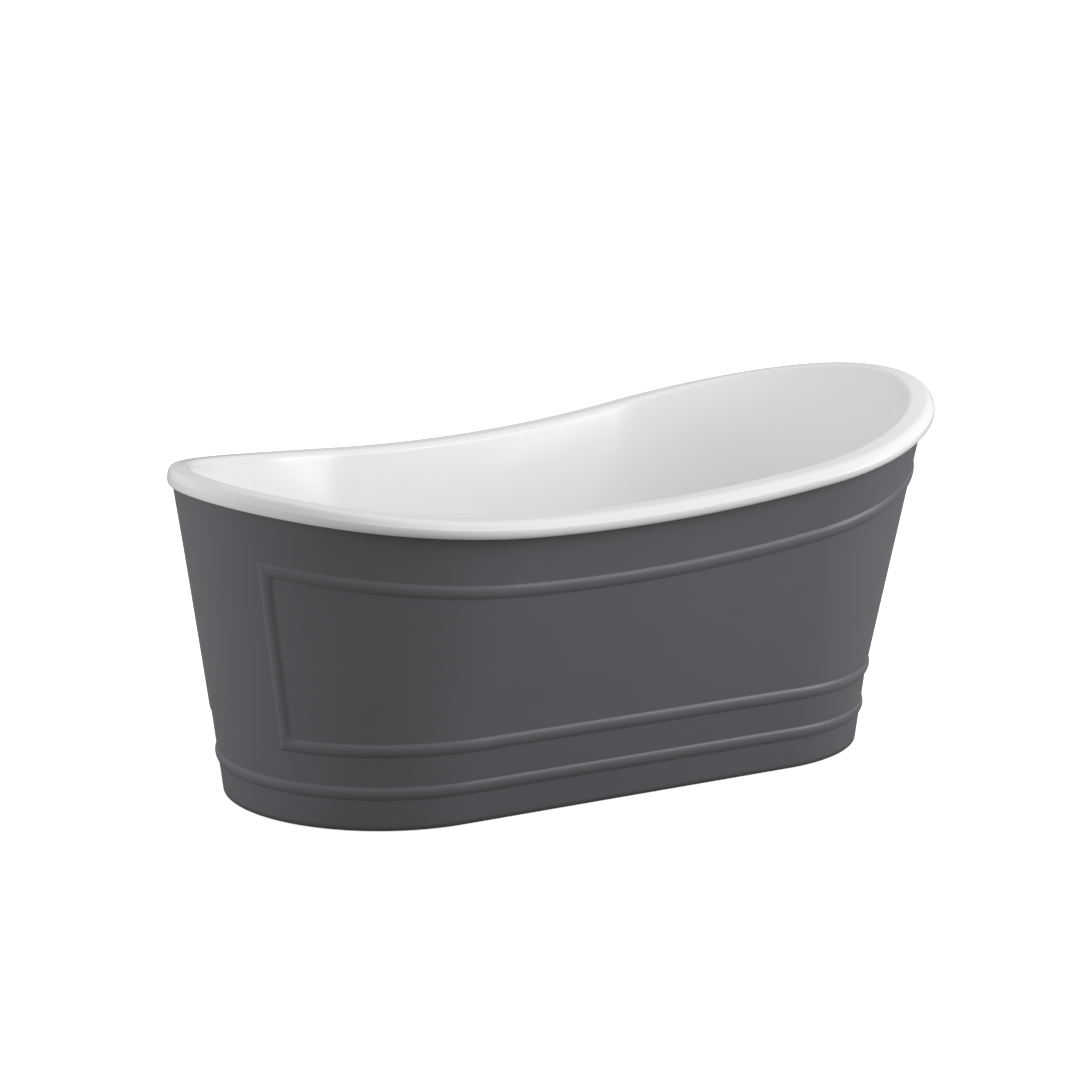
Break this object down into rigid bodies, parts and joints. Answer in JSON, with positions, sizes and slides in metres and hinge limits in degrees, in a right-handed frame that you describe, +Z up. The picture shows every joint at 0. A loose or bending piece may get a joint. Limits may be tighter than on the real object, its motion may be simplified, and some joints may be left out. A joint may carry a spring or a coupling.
{
  "type": "freestanding bathtub",
  "caption": "Freestanding double-skin slipper bathtub: white basin with rolled rim and one raised end, in a grey flared skirt with moulded panel beads.",
  "frame": {"origin": "on the floor, under the middle of the bath's overall length and width", "axes": "+X towards the raised head end, -Y towards the near side, +Z up"},
  "size_m": [1.694, 0.8919, 0.7457],
  "materials": {
    "grey_paint": "satin",
    "white_acrylic": "gloss",
    "foam": "matte",
    "plywood": "matte",
    "timber": "matte",
    "zinc_screw": "satin",
    "zinc_steel": "satin",
    "frame_steel": "satin",
    "black_plastic": "satin",
    "white_plastic": "satin",
    "rubber": "matte",
    "chrome": "polished",
    "brass": "satin",
    "spring_steel": "satin"
  },
  "bodies": {
    "tub": {"outer_skirt": "grey_paint", "inner_tub": "white_acrylic", "rim_seal": "foam", "base_board": "plywood", "board_screws": "zinc_screw", "cross_rail_screws": "zinc_screw", "bracket_block_screws": "zinc_screw", "bracket_rail_screws": "zinc_screw", "rail_end_caps": "black_plastic", "foot_nuts": "zinc_steel", "long_rail_near": "frame_steel", "long_rail_far": "frame_steel", "cross_rail_foot": "frame_steel", "cross_rail_middle": "frame_steel", "cross_rail_head": "frame_steel", "waste_flange": "chrome", "waste_body": "black_plastic", "waste_seal_upper": "rubber", "waste_seal_lower": "rubber", "waste_cartridge": "brass", "plug_spring": "spring_steel", "overflow_cover": "chrome", "overflow_seal_front": "rubber", "overflow_seal_back": "rubber", "overflow_body": "black_plastic", "overflow_pipe": "white_plastic", "pipe_nut_upper": "white_plastic", "pipe_nut_lower": "white_plastic", "skirt_block_near_foot": "timber", "skirt_bracket_near_foot": "zinc_steel", "skirt_block_near_head": "timber", "skirt_bracket_near_head": "zinc_steel", "skirt_block_far_foot": "timber", "skirt_bracket_far_foot": "zinc_steel", "skirt_block_far_head": "timber", "skirt_bracket_far_head": "zinc_steel"},
    "plug": {"plug_cap": "chrome", "plug_seal": "rubber", "plug_stem": "brass"},
    "pad_near_foot": {"leveller_pad_near_foot": "black_plastic", "leveller_sole_near_foot": "rubber"},
    "stud_near_foot": {"leveller_stud_near_foot": "zinc_steel"},
    "pad_near_head": {"leveller_pad_near_head": "black_plastic", "leveller_sole_near_head": "rubber"},
    "stud_near_head": {"leveller_stud_near_head": "zinc_steel"},
    "pad_far_foot": {"leveller_pad_far_foot": "black_plastic", "leveller_sole_far_foot": "rubber"},
    "stud_far_foot": {"leveller_stud_far_foot": "zinc_steel"},
    "pad_far_head": {"leveller_pad_far_head": "black_plastic", "leveller_sole_far_head": "rubber"},
    "stud_far_head": {"leveller_stud_far_head": "zinc_steel"}
  },
  "joints": [
    {"name": "plug_press", "type": "slide", "parent": "tub", "child": "plug", "axis": [0, 0, 1], "range_m": [-0.009, 0], "stiffness_N_per_m": 300, "springref_m": 0.01, "deforming": ["plug_spring"]},
    {"name": "level_near_foot", "type": "slide", "parent": "tub", "child": "pad_near_foot", "axis": [0, 0, 1], "range_m": [-0.015, 0.015]},
    {"name": "turn_near_foot", "type": "hinge", "parent": "pad_near_foot", "child": "stud_near_foot", "pos_m": [-0.3445, -0.235, 0.05], "axis": [0, 0, 1], "range_deg": [-3085, 3085]},
    {"name": "level_near_head", "type": "slide", "parent": "tub", "child": "pad_near_head", "axis": [0, 0, 1], "range_m": [-0.015, 0.015]},
    {"name": "turn_near_head", "type": "hinge", "parent": "pad_near_head", "child": "stud_near_head", "pos_m": [0.2155, -0.235, 0.05], "axis": [0, 0, 1], "range_deg": [-3085, 3085]},
    {"name": "level_far_foot", "type": "slide", "parent": "tub", "child": "pad_far_foot", "axis": [0, 0, 1], "range_m": [-0.015, 0.015]},
    {"name": "turn_far_foot", "type": "hinge", "parent": "pad_far_foot", "child": "stud_far_foot", "pos_m": [-0.3445, 0.235, 0.05], "axis": [0, 0, 1], "range_deg": [-3085, 3085]},
    {"name": "level_far_head", "type": "slide", "parent": "tub", "child": "pad_far_head", "axis": [0, 0, 1], "range_m": [-0.015, 0.015]},
    {"name": "turn_far_head", "type": "hinge", "parent": "pad_far_head", "child": "stud_far_head", "pos_m": [0.2155, 0.235, 0.05], "axis": [0, 0, 1], "range_deg": [-3085, 3085]}
  ],
  "couplings": [
    {"joint": "level_near_foot", "follows": "turn_near_foot", "m_per_rad": 0.00027852},
    {"joint": "level_near_head", "follows": "turn_near_head", "m_per_rad": 0.00027852},
    {"joint": "level_far_foot", "follows": "turn_far_foot", "m_per_rad": 0.00027852},
    {"joint": "level_far_head", "follows": "turn_far_head", "m_per_rad": 0.00027852}
  ]
}
